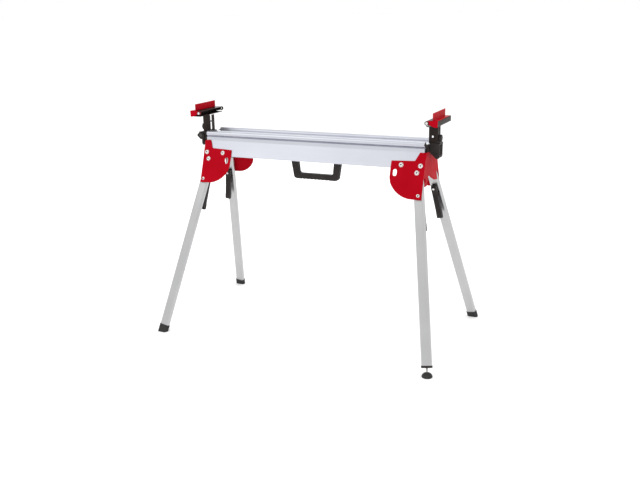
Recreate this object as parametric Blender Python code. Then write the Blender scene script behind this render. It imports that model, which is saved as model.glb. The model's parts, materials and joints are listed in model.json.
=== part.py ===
"""Folding work stand: an aluminium beam on four folding legs, with pull-out end supports.

Metres, +Z up, X along the beam, -Y the front, the floor at z = 0.
Pieces are written once in the coordinates of one corner or one end and mirrored by a place matrix.
"""
import math

import bmesh
import bpy
from mathutils import Matrix, Vector
from mathutils.geometry import tessellate_polygon

GAP = 0.0003                        # clearance between two pieces that touch

# beam section
BEAM_END = 0.550
RAIL_Y = 0.062
RAIL_Z = 0.9325
RAIL_R = 0.0125
RAIL_BORE = 0.009
WEB_TOP = 0.931
FLOOR_TOP = 0.898
FLOOR_BOTTOM = 0.895
CHANNEL_Y = 0.0435
CHANNEL_TOP = 0.928
SKIRT_BOTTOM = 0.8305
SKIRT_TOP = 0.9015
SHEET = 0.003

# sloped side planes: the outer face of the brackets
TILT = math.radians(19.7)
SIN_T = math.sin(TILT)
COS_T = math.cos(TILT)
BOLT_X = 0.540                      # the bolt that the wing outline is measured from
BOLT_Y = 0.0963
BOLT_Z = 0.8464
SKIRT_DEPTH = SHEET + GAP           # depth of the skirt's outer face below the bracket's
SKIRT_INNER = SKIRT_DEPTH + SHEET

# bracket wing, measured inward (u) and downward (v) from that bolt
WING_U = -0.0186
WING_V = 0.148
PIVOT_U = 0.0131
PIVOT_V = 0.0310
BOLT2_U = 0.088
BOLT_HOLE = 0.0033
PIVOT_HOLE = 0.0043
PANEL_IN = 0.5556
PANEL_OUT = 0.5586
TAB_FOOT = 0.753                    # lower end of the end panel's two tabs

# legs
LEAN = math.radians(9.7)
LEG_WIDE = 0.046
LEG_THICK = 0.024
LEG_CHAMFER = 0.006
LEG_WALL = 0.0022
LEG_DEPTH = 0.0208                  # depth of the leg's middle below the bracket's outer face
PIN_DOWN = 0.100                    # lock pin, down the leg from the pivot
PIN_R = 0.004
PIN_TIP = LEG_DEPTH - SHEET - GAP   # the pin stops just short of the wing
PIN_COLLAR = -0.0353                # where its collar bears on the lever
CAP_HIGH = 0.034

# latch lever
LEVER_DOWN = 0.134                  # lever axis, down the leg from the pivot
LEVER_IN = -0.0235                  # lever axis, inward from the leg's middle
LEVER_HALF = 0.012
LEVER_REST = 0.162                  # resting tilt of the lever, handle end away from the leg
EAR = 0.003

# extension arms and the supports on their ends
ARM_IN = 0.0038
ARM_OUT = 0.0432
ARM_BOTTOM = 0.9003
ARM_TOP = 0.9277
ARM_WALL = 0.002
ARM_FAR = -0.300                    # inner end of an arm, past the middle of the beam
ARM_NEAR = 0.5602
CARRIER_IN = 0.5605
CARRIER_FLANGE = 0.570
CARRIER_OUT = 0.604
CARRIER_TOP = 0.936
POST_IN = 0.5538
POST_OUT = 0.5948
POST_FRONT = -0.032
POST_BACK = 0.008
POST_TOP = 1.015
BAR_IN = 0.563
BAR_OUT = 0.613
BAR_BOTTOM = 1.016
BAR_TOP = 1.041
BAR_HALF = 0.100
STOP_X = 0.567
STOP_Z = 1.0325
CLAMP_Y = -0.011
CLAMP_Z = 0.957
LOCK_X = {"left": 0.586, "right": 0.570}
LOCK_Z = 0.921
LOCK_FACE = 0.0603                  # inner face of the lock knob, across the beam

ENDS = (("left", -1), ("right", 1))
SIDES = (("front", -1), ("back", 1))

ALONG_X = Matrix(((0, 0, 1, 0), (1, 0, 0, 0), (0, 1, 0, 0), (0, 0, 0, 1)))   # (y, z) drawn, x swept
ALONG_Y = Matrix(((1, 0, 0, 0), (0, 0, 1, 0), (0, 1, 0, 0), (0, 0, 0, 1)))   # (x, z) drawn, y swept
ALONG_Z = Matrix.Identity(4)


# ---------------------------------------------------------------- materials

def material(name, colour, metallic, roughness):
    made = bpy.data.materials.new(name)
    made.use_nodes = True
    shader = made.node_tree.nodes["Principled BSDF"]
    shader.inputs["Base Color"].default_value = (*colour, 1)
    shader.inputs["Metallic"].default_value = metallic
    shader.inputs["Roughness"].default_value = roughness
    return made


# ---------------------------------------------------------------- shape helpers

def mirrored(sx, sy=1):
    return Matrix.Diagonal((sx, sy, 1, 1))


def side_frame(sx, sy, down=0.0, depth=0.0):
    """At the wing's bolt: local x outward along the beam, y up the sloped side, z out of it."""
    out = Vector((0, sy * COS_T, SIN_T))
    up = Vector((0, -sy * SIN_T, COS_T))
    start = Vector((sx * BOLT_X, sy * BOLT_Y, BOLT_Z)) - up * down - out * depth
    return Matrix((
        (sx, 0, 0, start.x),
        (0, up.y, out.y, start.y),
        (0, up.z, out.z, start.z),
        (0, 0, 0, 1),
    ))


def leg_frame(sx, sy):
    """At the leg's pivot: local x across the leg, y up along it, z out of the sloped side."""
    pivot = Matrix.Translation((-PIVOT_U, 0, 0))
    return side_frame(sx, sy, PIVOT_V, LEG_DEPTH) @ pivot @ Matrix.Rotation(LEAN, 4, "Z")


def side_y(z, depth):
    """Half-width, at height z, of the plane that lies depth inside the brackets' outer face."""
    return BOLT_Y + (BOLT_Z - z) * SIN_T / COS_T - depth / COS_T


def arc(x, y, radius, start, end, steps):
    turn = [math.radians(start + (end - start) * i / steps) for i in range(steps + 1)]
    return [(x + radius * math.cos(t), y + radius * math.sin(t)) for t in turn]


def circle(x, y, radius, steps=16):
    return arc(x, y, radius, 0, 360, steps)[:-1]


def box(x0, x1, y0, y1):
    return [(x0, y0), (x1, y0), (x1, y1), (x0, y1)]


def chamfered(x0, x1, y0, y1, c):
    return [(x0 + c, y0), (x1 - c, y0), (x1, y0 + c), (x1, y1 - c),
            (x1 - c, y1), (x0 + c, y1), (x0, y1 - c), (x0, y0 + c)]


def slot(x, y, radius, half):
    """Upright slot: two half circles that stand 2 x half apart."""
    return arc(x, y + half, radius, 0, 180, 6) + arc(x, y - half, radius, 180, 360, 6)


def finish(name, bm, place, colour):
    bmesh.ops.transform(bm, matrix=place, verts=bm.verts)
    bmesh.ops.recalc_face_normals(bm, faces=bm.faces)
    mesh = bpy.data.meshes.new(name)
    bm.to_mesh(mesh)
    bm.free()
    mesh.materials.append(colour)
    made = bpy.data.objects.new(name, mesh)
    bpy.context.scene.collection.objects.link(made)
    return made


def prism(name, loops, low, high, place, colour):
    """Solid between two heights: the first loop is the outline and the others are holes."""
    bm = bmesh.new()
    fill = tessellate_polygon([[Vector((x, y, 0)) for x, y in loop] for loop in loops])
    points = [p for loop in loops for p in loop]
    floor = [bm.verts.new((x, y, low)) for x, y in points]
    roof = [bm.verts.new((x, y, high)) for x, y in points]
    for tri in fill:
        bm.faces.new([floor[i] for i in tri])
        bm.faces.new([roof[i] for i in tri])
    start = 0
    for loop in loops:
        size = len(loop)
        for i in range(size):
            a = start + i
            b = start + (i + 1) % size
            bm.faces.new((floor[a], floor[b], roof[b], roof[a]))
        start += size
    return finish(name, bm, place, colour)


def turned(name, profile, place, colour, steps=16):
    """Round solid about local z, from (radius, height) points that start and end on the axis."""
    bm = bmesh.new()
    foot = bm.verts.new((0, 0, profile[0][1]))
    head = bm.verts.new((0, 0, profile[-1][1]))
    rings = []
    for radius, height in profile[1:-1]:
        rings.append([bm.verts.new((x, y, height)) for x, y in circle(0, 0, radius, steps)])
    for i in range(steps):
        j = (i + 1) % steps
        bm.faces.new((foot, rings[0][j], rings[0][i]))
        bm.faces.new((head, rings[-1][i], rings[-1][j]))
        for low, high in zip(rings, rings[1:]):
            bm.faces.new((low[i], low[j], high[j], high[i]))
    made = finish(name, bm, place, colour)
    made.data.shade_smooth()
    made.data.set_sharp_from_angle(angle=math.radians(35))
    return made


def combine(base, others, operation):
    """Cuts, joins or crosses the other solids with the base, and removes them."""
    for other in others:
        step = base.modifiers.new("solid", "BOOLEAN")
        step.operation = operation
        step.solver = "EXACT"
        step.object = other
    seen = bpy.context.evaluated_depsgraph_get()
    mesh = bpy.data.meshes.new_from_object(base.evaluated_get(seen))
    base.modifiers.clear()
    base.data = mesh
    for other in others:
        bpy.data.objects.remove(other, do_unlink=True)
    return base


def hinged(piece, origin):
    """Moves the piece's origin onto its joint axis; the solid stays where it is."""
    piece.data.transform(Matrix.Translation(-Vector(origin)))
    piece.location = origin
    return piece


def drill(place, x, y, radius, low, high, colour, steps=12):
    return prism("drill", [circle(x, y, radius, steps)], low, high, place, colour)


# ---------------------------------------------------------------- beam and brackets

def main_beam():
    skirt_foot = side_y(SKIRT_BOTTOM, SKIRT_DEPTH)
    skirt_head = side_y(SKIRT_TOP, SKIRT_DEPTH)
    outer = [(skirt_foot, SKIRT_BOTTOM), (skirt_head, SKIRT_TOP), (skirt_head, 0.9172), (0.0693, 0.9183)]
    outer += arc(RAIL_Y, RAIL_Z, RAIL_R, -54, 187, 16)
    under = [
        (side_y(FLOOR_BOTTOM, SKIRT_INNER), FLOOR_BOTTOM),
        (side_y(SKIRT_BOTTOM, SKIRT_INNER), SKIRT_BOTTOM),
    ]
    section = outer + [(-y, z) for y, z in reversed(outer)]
    section += [(-y, z) for y, z in reversed(under)] + under
    channel = box(-CHANNEL_Y, CHANNEL_Y, FLOOR_TOP, CHANNEL_TOP)
    cell = [(0.0465, FLOOR_TOP), (0.0705, FLOOR_TOP), (0.0705, 0.9145), (0.0645, 0.9145),
            (0.0600, 0.9175), (0.0465, 0.9175)]
    holes = [channel, cell, [(-y, z) for y, z in cell]]
    holes += [circle(s * RAIL_Y, RAIL_Z, RAIL_BORE) for s in (-1, 1)]
    beam = prism("main_beam", [section] + holes, -BEAM_END, BEAM_END, ALONG_X, ALUMINIUM)
    cutters = []
    for _, sx in ENDS:
        for _, sy in SIDES:
            place = side_frame(sx, sy)
            for inward in (0, BOLT2_U):
                cutters.append(drill(place, -inward, 0, BOLT_HOLE, -0.010, 0, ALUMINIUM))
    return combine(beam, cutters, "DIFFERENCE")


def wing_outline(pointed):
    tongue = [(0.010, -0.056), (0.0275, -0.0206)] if pointed else \
        [(0.003, -0.0600), (0.009, -0.0565), (0.0120, -0.0510), (0.0285, -0.0206)]
    outline = [(WING_U, WING_V), (WING_U, -0.058)] + tongue
    outline += [(0.131, -0.017), (0.134, -0.014), (0.1355, 0.022), (0.135, 0.064)]
    outline += [(0.122, 0.0860), (0.1043, 0.1077), (0.085, 0.1250), (0.065, 0.1380),
                (0.045, 0.1458), (0.020, 0.1475)]
    return [(-u, -v) for u, v in outline]


def beam_bracket(end, sx):
    pieces = []
    for _, sy in SIDES:
        place = side_frame(sx, sy)
        outline = wing_outline(end == "right")
        holes = [
            circle(0, 0, BOLT_HOLE, 12),
            circle(-BOLT2_U, 0, BOLT_HOLE, 12),
            circle(-PIVOT_U, -PIVOT_V, PIVOT_HOLE, 12),
            circle(-PIVOT_U + PIN_DOWN * math.sin(LEAN), -PIVOT_V - PIN_DOWN * math.cos(LEAN), 0.0044, 12),
            slot(-0.1132, -0.0354, 0.009, 0.0065),
        ]
        pieces.append(prism("wing", [outline] + holes, -SHEET, 0, place, RED))
    half_sheet = SHEET / 2
    foot = BOLT_Z - WING_V * COS_T + 0.0015
    half = [
        (side_y(0.899, half_sheet), 0.899), (side_y(foot, half_sheet), foot),
        (side_y(foot, 0.0080), foot), (side_y(0.790, 0.0080), 0.790), (side_y(0.790, 0.0345), 0.790),
        (side_y(TAB_FOOT, 0.0345), TAB_FOOT),
    ]
    between_tabs = [(0.0400, 0.7600), (-0.0170, 0.7838), (-0.0465, 0.7920), (-0.0586, TAB_FOOT)]
    outline = half + between_tabs + [(-y, z) for y, z in reversed(half)]
    panel = prism(f"beam_bracket_{end}", [outline], sx * PANEL_IN, sx * PANEL_OUT, ALONG_X, RED)
    return combine(panel, pieces, "UNION")


def leg_yoke(end, sx):
    """Steel saddle under the beam's floor that holds the inner ends of the two leg pivots."""
    top = FLOOR_BOTTOM - GAP
    half = [(side_y(top, 0.0333), top), (side_y(0.790, 0.0333), 0.790), (side_y(0.790, 0.0363), 0.790),
            (side_y(top - SHEET, 0.0363), top - SHEET)]
    outline = half + [(-y, z) for y, z in reversed(half)]
    yoke = prism(f"leg_yoke_{end}", [outline], sx * 0.492, sx * 0.5495, ALONG_X, BLACK_STEEL)
    cutters = []
    for _, sy in SIDES:
        cutters.append(drill(leg_frame(sx, sy), 0, 0, PIVOT_HOLE, -0.020, -0.008, BLACK_STEEL))
    return combine(yoke, cutters, "DIFFERENCE")


def button_head(radius, shank, far, nut_radius, nut_from, nut_to, shoulder=None):
    """Profile of a through bolt in depth below the bracket's outer face, head first."""
    profile = [(0, 0.0050), (0.0060, 0.0050), (radius * 0.92, 0.0030), (radius, 0.0012), (radius, GAP),
               (shank, GAP)]
    if shoulder:
        profile += [(shank, -shoulder[1]), (shoulder[0], -shoulder[1]), (shoulder[0], -shoulder[2]),
                    (shank, -shoulder[2])]
    profile += [(shank, -nut_from), (nut_radius, -nut_from), (nut_radius, -nut_to)]
    if far > nut_to:
        profile += [(shank, -nut_to), (shank, -far)]
    return profile + [(0, -far)]


def bracket_bolts(end, side, sx, sy):
    shape = button_head(0.0105, 0.0030, 0.0084, 0.0070, 0.0066, 0.0084)
    for place_name, inward in (("outer", 0), ("inner", BOLT2_U)):
        place = side_frame(sx, sy) @ Matrix.Translation((-inward, 0, 0))
        turned(f"bracket_bolt_{side}_{end}_{place_name}", shape, place, STEEL, 12)


def leg_pivot_bolt(end, side, sx, sy):
    shape = button_head(0.0105, 0.0040, 0.0430, 0.0075, 0.0366, 0.0410, (0.0090, 0.0033, 0.0085))
    place = side_frame(sx, sy, PIVOT_V) @ Matrix.Translation((-PIVOT_U, 0, 0))
    turned(f"leg_pivot_bolt_{side}_{end}", shape, place, STEEL, 12)


# ---------------------------------------------------------------- carrying handle

HANDLE_HALF = 0.012


def carry_handle():
    half_out = [(0.130, FLOOR_BOTTOM - GAP), (0.130, 0.830), (0.116, 0.748), (0.108, 0.735), (0.096, 0.730)]
    half_in = [(0.070, 0.757), (0.084, 0.762), (0.090, 0.774), (0.095, 0.830), (0.095, FLOOR_BOTTOM - GAP)]
    outline = half_out + [(-x, z) for x, z in reversed(half_out)]
    outline += [(-x, z) for x, z in reversed(half_in)] + half_in
    return prism("carry_handle", [outline], -HANDLE_HALF, HANDLE_HALF, ALONG_Y, BLACK)


# ---------------------------------------------------------------- legs and feet

LEG_TO_FLOOR = (BOLT_Z - PIVOT_V * COS_T - LEG_DEPTH * SIN_T) / (COS_T * math.cos(LEAN))
TUBE_END = LEG_TO_FLOOR - 0.016
SCREW_FOOT_END = LEG_TO_FLOOR - 0.050


def leg_section(grow, chamfer):
    wide = LEG_WIDE / 2 + grow
    thick = LEG_THICK / 2 + grow
    return chamfered(-wide, wide, -thick, thick, chamfer)


def along_leg(sx, sy):
    """Leg frame with the cross-section drawn (across, out) and the length swept."""
    return leg_frame(sx, sy) @ ALONG_Y


def leg(end, side, sx, sy):
    place = leg_frame(sx, sy)
    bottom = -(SCREW_FOOT_END if (sx, sy) == (1, -1) else TUBE_END)
    half = LEG_WIDE / 2
    loops = [leg_section(0, LEG_CHAMFER), leg_section(-LEG_WALL, LEG_CHAMFER - LEG_WALL * 0.6)]
    tube = prism(f"leg_{side}_{end}", loops, bottom, half + 0.001, along_leg(sx, sy), ALUMINIUM)
    crown = arc(0, 0, half + 0.00005, 0, 180, 12)
    crown += [(-0.030, -0.001), (-0.030, -1), (0.030, -1), (0.030, -0.001)]
    keep = prism("keep", [crown], -0.020, 0.020, place, ALUMINIUM)
    tube = combine(tube, [keep], "INTERSECT")
    cutters = [
        drill(place, 0, 0, PIVOT_HOLE, -0.020, 0.020, ALUMINIUM),
        drill(place, 0, -PIN_DOWN, 0.0044, -0.020, 0.020, ALUMINIUM),
    ]
    return hinged(combine(tube, cutters, "DIFFERENCE"), place.translation)


def foot_cap(end, side, sx, sy):
    place = along_leg(sx, sy)
    top = -LEG_TO_FLOOR + CAP_HIGH
    cap = prism(f"foot_{side}_{end}", [leg_section(0.0022, 0.0065)], top - 0.060, top, place, RUBBER)
    pocket = prism("pocket", [leg_section(GAP, LEG_CHAMFER)], -TUBE_END - GAP, top + 0.010, place, RUBBER)
    floor = prism("floor", [box(-0.9, 0.9, -0.6, 0.6)], -0.1, 0, ALONG_Z, RUBBER)
    return hinged(combine(cap, [pocket, floor], "DIFFERENCE"), leg_frame(sx, sy).translation)


def screw_foot_plug():
    place = along_leg(1, -1)
    bottom = -SCREW_FOOT_END
    collar = leg_section(0.0012, LEG_CHAMFER)
    plug = prism("screw_foot_plug", [collar], bottom - 0.010, bottom - GAP, place, BLACK)
    inner = leg_section(-LEG_WALL - GAP, LEG_CHAMFER - LEG_WALL * 0.6)
    spigot = prism("spigot", [inner], bottom - 0.005, bottom + 0.020, place, BLACK)
    plug = combine(plug, [spigot], "UNION")
    bore = drill(place, 0, 0, 0.0048, bottom - 0.020, bottom + 0.030, BLACK)
    return hinged(combine(plug, [bore], "DIFFERENCE"), leg_frame(1, -1).translation)


def screw_foot_centre():
    return leg_frame(1, -1) @ Vector((0, -LEG_TO_FLOOR + 0.020, 0))


def screw_foot_stem():
    place = along_leg(1, -1)
    low = -LEG_TO_FLOOR + 0.0225
    high = -SCREW_FOOT_END + 0.012
    shape = [(0, low), (0.0045, low), (0.0045, high), (0, high)]
    return hinged(turned("screw_foot_stem", shape, place, STEEL, 12), screw_foot_centre())


def screw_foot_pad():
    centre = screw_foot_centre()
    shape = [(0, 0), (0.0235, 0), (0.0235, 0.004), (0.0205, 0.011), (0.012, 0.0165), (0.007, 0.0185),
             (0, 0.0185)]
    pad = turned("screw_foot_pad", shape, Matrix.Translation((centre.x, centre.y, 0)), RUBBER, 20)
    return hinged(pad, screw_foot_centre())


# ---------------------------------------------------------------- latches

def lever_frame(sx, sy):
    """At the lever's axis, turned so that local y runs up along the resting lever."""
    axis = Matrix.Translation((0, -LEVER_DOWN, LEVER_IN))
    return leg_frame(sx, sy) @ axis @ Matrix.Rotation(LEVER_REST, 4, "X")


def latch_lever(end, side, sx, sy):
    place = lever_frame(sx, sy)
    leg_side = [(0.0460, -0.0040), (0.0440, 0.0010), (0.0410, 0.0030), (-0.0900, 0.0030), (-0.1150, 0.0000)]
    far_side = [(-0.1150, -0.0130), (-0.1110, -0.0172), (-0.0880, -0.0172), (-0.0850, -0.0155),
                (0.0330, -0.0155), (0.0400, -0.0130), (0.0450, -0.0085)]
    drawn = place @ ALONG_X
    loops = [leg_side + far_side, circle(0, -0.0015, 0.0023, 10)]
    lever = prism(f"latch_lever_{side}_{end}", loops, -LEVER_HALF, LEVER_HALF, drawn, BLACK)
    hole = prism("hole", [slot(0, LEVER_DOWN - PIN_DOWN, 0.0046, 0.0016)], -0.030, 0.030, place, BLACK)
    return hinged(combine(lever, [hole], "DIFFERENCE"), lever_axis(sx, sy))


def lever_axis(sx, sy):
    return lever_frame(sx, sy) @ Vector((0, 0, -0.0015))


def latch_mount(end, side, sx, sy):
    """Two ears on the leg with the lever's hinge pin between them."""
    place = leg_frame(sx, sy) @ Matrix.Translation((0, -LEVER_DOWN, 0))
    ear_out = LEVER_HALF + GAP + EAR
    face = -LEG_THICK / 2 - GAP
    u_shape = [(-ear_out, face), (ear_out, face), (ear_out, -0.0285), (ear_out - EAR, -0.0285),
               (ear_out - EAR, face - 0.002), (EAR - ear_out, face - 0.002), (EAR - ear_out, -0.0285),
               (-ear_out, -0.0285)]
    ears = prism(f"latch_mount_{side}_{end}", [u_shape], -0.008, 0.008, place @ ALONG_Y, BLACK_STEEL)
    across = Matrix.Translation(lever_axis(sx, sy)) @ place.to_3x3().to_4x4() @ ALONG_X
    pin = prism("pin", [circle(0, 0, 0.0020, 10)], -ear_out + 0.0005, ear_out - 0.0005, across, BLACK_STEEL)
    return hinged(combine(ears, [pin], "UNION"), leg_frame(sx, sy).translation)


def lock_pin(end, side, sx, sy):
    place = leg_frame(sx, sy) @ Matrix.Translation((0, -PIN_DOWN, 0))
    head = PIN_COLLAR - 0.0038
    shape = [(0, head), (0.0040, head), (0.0055, head + 0.0014), (0.0055, PIN_COLLAR), (PIN_R, PIN_COLLAR),
             (PIN_R, PIN_TIP - 0.0008), (PIN_R - 0.0008, PIN_TIP), (0, PIN_TIP)]
    pin = turned(f"lock_pin_{side}_{end}", shape, place, STEEL, 12)
    return hinged(pin, place.translation)


# ---------------------------------------------------------------- extension arms

def lane(sx):
    """The left arm runs in the front half of the channel and the right arm in the back half."""
    return sx


def end_cap(end, sx):
    place = Matrix.Diagonal((sx, lane(sx), 1, 1)) @ ALONG_X
    lock_side = [(0.0570, 0.8995), (0.0570, 0.9370), (0.0450, 0.9320)]
    ear_side = [(0.0570, 0.8995), (0.0570, 0.9185), (0.0830, 0.9320), (0.0830, 0.9380), (0.0810, 0.9390),
                (0.0450, 0.9300)]
    window = [(ARM_IN - 0.0008, 0.8995), (ARM_IN - 0.0008, 0.928), (ARM_OUT + 0.0008, 0.928),
              (ARM_OUT + 0.0008, 0.8995)]
    outline = lock_side + [(-y, z) for y, z in reversed(ear_side)] + window
    cap = prism(f"end_cap_{end}", [outline], BEAM_END + GAP, 0.5600, place, BLACK)
    lug = prism("lug", [box(0.0475, 0.0600, 0.905, 0.937)], 0.5550, LOCK_X[end] + 0.017, place, BLACK)
    bore = drill(mirrored(sx, lane(sx)) @ ALONG_Y, LOCK_X[end], LOCK_Z, BOLT_HOLE, 0.040, 0.070, BLACK)
    return combine(combine(cap, [lug], "UNION"), [bore], "DIFFERENCE")


def arm_lock_knob(end, sx):
    """Square knob, turned to a diamond, on a stub shaft that presses against the arm."""
    place = mirrored(sx, lane(sx)) @ Matrix.Translation((LOCK_X[end], 0, LOCK_Z))
    place = place @ Matrix.Rotation(math.radians(45), 4, "Y") @ ALONG_Y
    outline = chamfered(-0.014, 0.014, -0.0155, 0.0155, 0.004)
    knob = prism(f"arm_lock_knob_{end}", [outline], LOCK_FACE, LOCK_FACE + 0.0147, place, BLACK)
    shaft = prism("shaft", [circle(0, 0, 0.0030, 12)], 0.0450, 0.0700, place, BLACK)
    return hinged(combine(knob, [shaft], "UNION"), (sx * LOCK_X[end], lane(sx) * LOCK_FACE, LOCK_Z))


def extension_arm(end, sx):
    place = Matrix.Diagonal((sx, lane(sx), 1, 1)) @ ALONG_X
    outer = chamfered(ARM_IN, ARM_OUT, ARM_BOTTOM, ARM_TOP, 0.002)
    inner = box(ARM_IN + ARM_WALL, ARM_OUT - ARM_WALL, ARM_BOTTOM + ARM_WALL, ARM_TOP - ARM_WALL)
    arm = prism(f"extension_arm_{end}", [outer, inner], ARM_FAR, ARM_NEAR, place, ALUMINIUM)
    return hinged(arm, (sx * ARM_NEAR, lane(sx) * (ARM_IN + ARM_OUT) / 2, ARM_BOTTOM))


def support_carrier(end, sx):
    """Casting on the arm's outer end: a flange over the tube, a block under the post and a tenon."""
    outline = [(CARRIER_IN, CARRIER_TOP), (CARRIER_IN, 0.897), (0.5890, 0.8690), (0.5990, 0.8690),
               (CARRIER_OUT, 0.8760), (CARRIER_OUT, CARRIER_TOP)]
    body = prism(f"support_carrier_{end}", [outline], -0.036, 0.016, mirrored(sx) @ ALONG_Y, BLACK)
    flange = prism("flange", [box(CARRIER_IN, CARRIER_FLANGE, 0.8975, CARRIER_TOP)], -0.034, 0.044,
                   mirrored(sx, lane(sx)) @ ALONG_Y, BLACK)
    margin = ARM_WALL + GAP
    tenon_section = box(ARM_IN + margin, ARM_OUT - margin, ARM_BOTTOM + margin, ARM_TOP - margin)
    tenon = prism("tenon", [tenon_section], 0.5300, 0.5650, mirrored(sx, lane(sx)) @ ALONG_X, BLACK)
    return hinged(combine(body, [flange, tenon], "UNION"), (sx * ARM_NEAR, 0, ARM_BOTTOM))


# ---------------------------------------------------------------- end supports

def support_post(end, sx):
    """Upright channel, open at the back, with slots for the clamp and the guide pin."""
    place = mirrored(sx)
    wall = SHEET
    section = [(POST_IN, POST_BACK), (POST_IN, POST_FRONT), (POST_OUT, POST_FRONT), (POST_OUT, POST_BACK),
               (POST_OUT - wall, POST_BACK), (POST_OUT - wall, POST_FRONT + wall),
               (POST_IN + wall, POST_FRONT + wall), (POST_IN + wall, POST_BACK)]
    post = prism(f"support_post_{end}", [section], CARRIER_TOP + GAP, POST_TOP, place, BLACK_STEEL)
    sides = place @ ALONG_X
    cutters = [
        prism("slot", [box(-0.0280, -0.0130, 0.945, 1.030)], POST_IN - 0.01, POST_IN + 0.01, sides, BLACK_STEEL),
        prism("slot", [slot(CLAMP_Y, 0.9795, 0.0034, 0.0230)], POST_OUT - 0.01, POST_OUT + 0.01, sides,
              BLACK_STEEL),
        drill(place @ ALONG_Y, 0.5714, 0.965, 0.005, POST_FRONT - 0.01, POST_FRONT + 0.01, BLACK_STEEL),
    ]
    return hinged(combine(post, cutters, "DIFFERENCE"), (sx * POST_OUT, CLAMP_Y, CARRIER_TOP))


def support_slide(end, sx):
    place = mirrored(sx)
    blade = prism(f"support_slide_{end}", [box(0.578, 0.590, -0.028, 0.006)], 0.940, BAR_BOTTOM - GAP, place,
                  BLACK_STEEL)
    pin = prism("pin", [circle(-0.0205, 0.985, 0.003, 10)], 0.5535, 0.580, place @ ALONG_X, BLACK_STEEL)
    blade = combine(blade, [pin], "UNION")
    bore = drill(place @ ALONG_X, CLAMP_Y, CLAMP_Z, 0.0029, 0.583, 0.600, BLACK_STEEL)
    return hinged(combine(blade, [bore], "DIFFERENCE"), (sx * 0.584, CLAMP_Y, BAR_BOTTOM))


def height_knob(end, sx):
    place = mirrored(sx) @ Matrix.Translation((0, CLAMP_Y, CLAMP_Z)) @ ALONG_X
    lobes = []
    for i in range(24):
        turn = 2 * math.pi * i / 24
        radius = 0.0150 + 0.0012 * math.cos(6 * turn)
        lobes.append((radius * math.cos(turn), radius * math.sin(turn)))
    knob = prism(f"height_knob_{end}", [lobes], POST_OUT + GAP, 0.6075, place, BLACK)
    stud = prism("stud", [circle(0, 0, 0.0026, 10)], 0.5850, 0.600, place, BLACK)
    return hinged(combine(knob, [stud], "UNION"), (sx * POST_OUT, CLAMP_Y, CLAMP_Z))


def support_bar(end, sx):
    """Channel across the end of the stand that the workpiece rests on."""
    place = mirrored(sx)
    wall = 0.0027
    section = [(BAR_IN, BAR_BOTTOM), (BAR_OUT, BAR_BOTTOM), (BAR_OUT, BAR_TOP), (BAR_IN, BAR_TOP),
               (BAR_IN, BAR_TOP - wall), (BAR_OUT - wall, BAR_TOP - wall), (BAR_OUT - wall, BAR_BOTTOM + wall),
               (BAR_IN, BAR_BOTTOM + wall)]
    bar = prism(f"support_bar_{end}", [section], -BAR_HALF, BAR_HALF, place @ ALONG_Y, BLACK_STEEL)
    lug = arc(STOP_X, STOP_Z, 0.0095, 63, 300, 10)
    plate = lug + [(BAR_OUT, BAR_BOTTOM), (BAR_OUT, BAR_TOP)]
    front = prism("plate", [plate], -BAR_HALF - wall, -BAR_HALF + 0.0005, place @ ALONG_Y, BLACK_STEEL)
    back = prism("plate", [plate], BAR_HALF - 0.0005, BAR_HALF + wall, place @ ALONG_Y, BLACK_STEEL)
    bar = combine(bar, [front, back], "UNION")
    bore = drill(place @ ALONG_Y, STOP_X, STOP_Z, BOLT_HOLE, -0.115, 0.115, BLACK_STEEL)
    return hinged(combine(bar, [bore], "DIFFERENCE"), (sx * 0.584, 0, BAR_BOTTOM))


STOP_TAB_IN = -0.1035
STOP_TAB_OUT = -0.1065
STOP_PLATE = 0.590


def flip_stop(end, sx):
    """Red end stop that stands on the bar and swings over to the inside."""
    place = mirrored(sx)
    low = BAR_TOP + GAP
    flange = prism(f"flip_stop_{end}", [box(STOP_PLATE, BAR_OUT, STOP_TAB_OUT, 0.080)], low, low + SHEET, place,
                   RED)
    fence = prism("fence", [box(STOP_PLATE, STOP_PLATE + SHEET, -0.0955, 0.080)], low, 1.074, place, RED)
    tab_outline = arc(STOP_X, STOP_Z, 0.0095, 100, 300, 8)
    tab_outline += [(0.577, 1.0265), (0.5985, 1.0165), (0.6135, 1.0150), (0.6155, 1.0180), (0.6155, low + 0.001),
                    (0.5890, low + 0.0029)]
    tab = prism("tab", [tab_outline], STOP_TAB_OUT, STOP_TAB_IN, place @ ALONG_Y, RED)
    stop = combine(flange, [fence, tab], "UNION")
    bore = drill(place @ ALONG_Y, STOP_X, STOP_Z, BOLT_HOLE, -0.115, -0.095, RED)
    return hinged(combine(stop, [bore], "DIFFERENCE"), (sx * STOP_X, STOP_TAB_OUT, STOP_Z))


def stop_bolt(end, sx):
    place = mirrored(sx) @ Matrix.Translation((STOP_X, 0, STOP_Z)) @ ALONG_Y
    shape = [(0, -0.1105), (0.0045, -0.1105), (0.0060, -0.1090), (0.0060, STOP_TAB_OUT - GAP),
             (0.0030, STOP_TAB_OUT - GAP), (0.0030, -0.0992), (0.0052, -0.0992),
             (0.0052, -0.0960), (0, -0.0960)]
    return turned(f"stop_bolt_{end}", shape, place, STEEL, 12)


# ---------------------------------------------------------------- assembly

for old in list(bpy.data.objects):
    bpy.data.objects.remove(old, do_unlink=True)

ALUMINIUM = material("aluminium", (0.72, 0.73, 0.75), 0.9, 0.35)
STEEL = material("bright steel", (0.70, 0.70, 0.70), 1.0, 0.25)
RED = material("red paint", (0.62, 0.012, 0.020), 0.0, 0.35)
BLACK = material("black plastic", (0.020, 0.020, 0.020), 0.0, 0.50)
BLACK_STEEL = material("black painted steel", (0.025, 0.025, 0.026), 0.2, 0.45)
RUBBER = material("rubber", (0.015, 0.015, 0.015), 0.0, 0.75)

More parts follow.
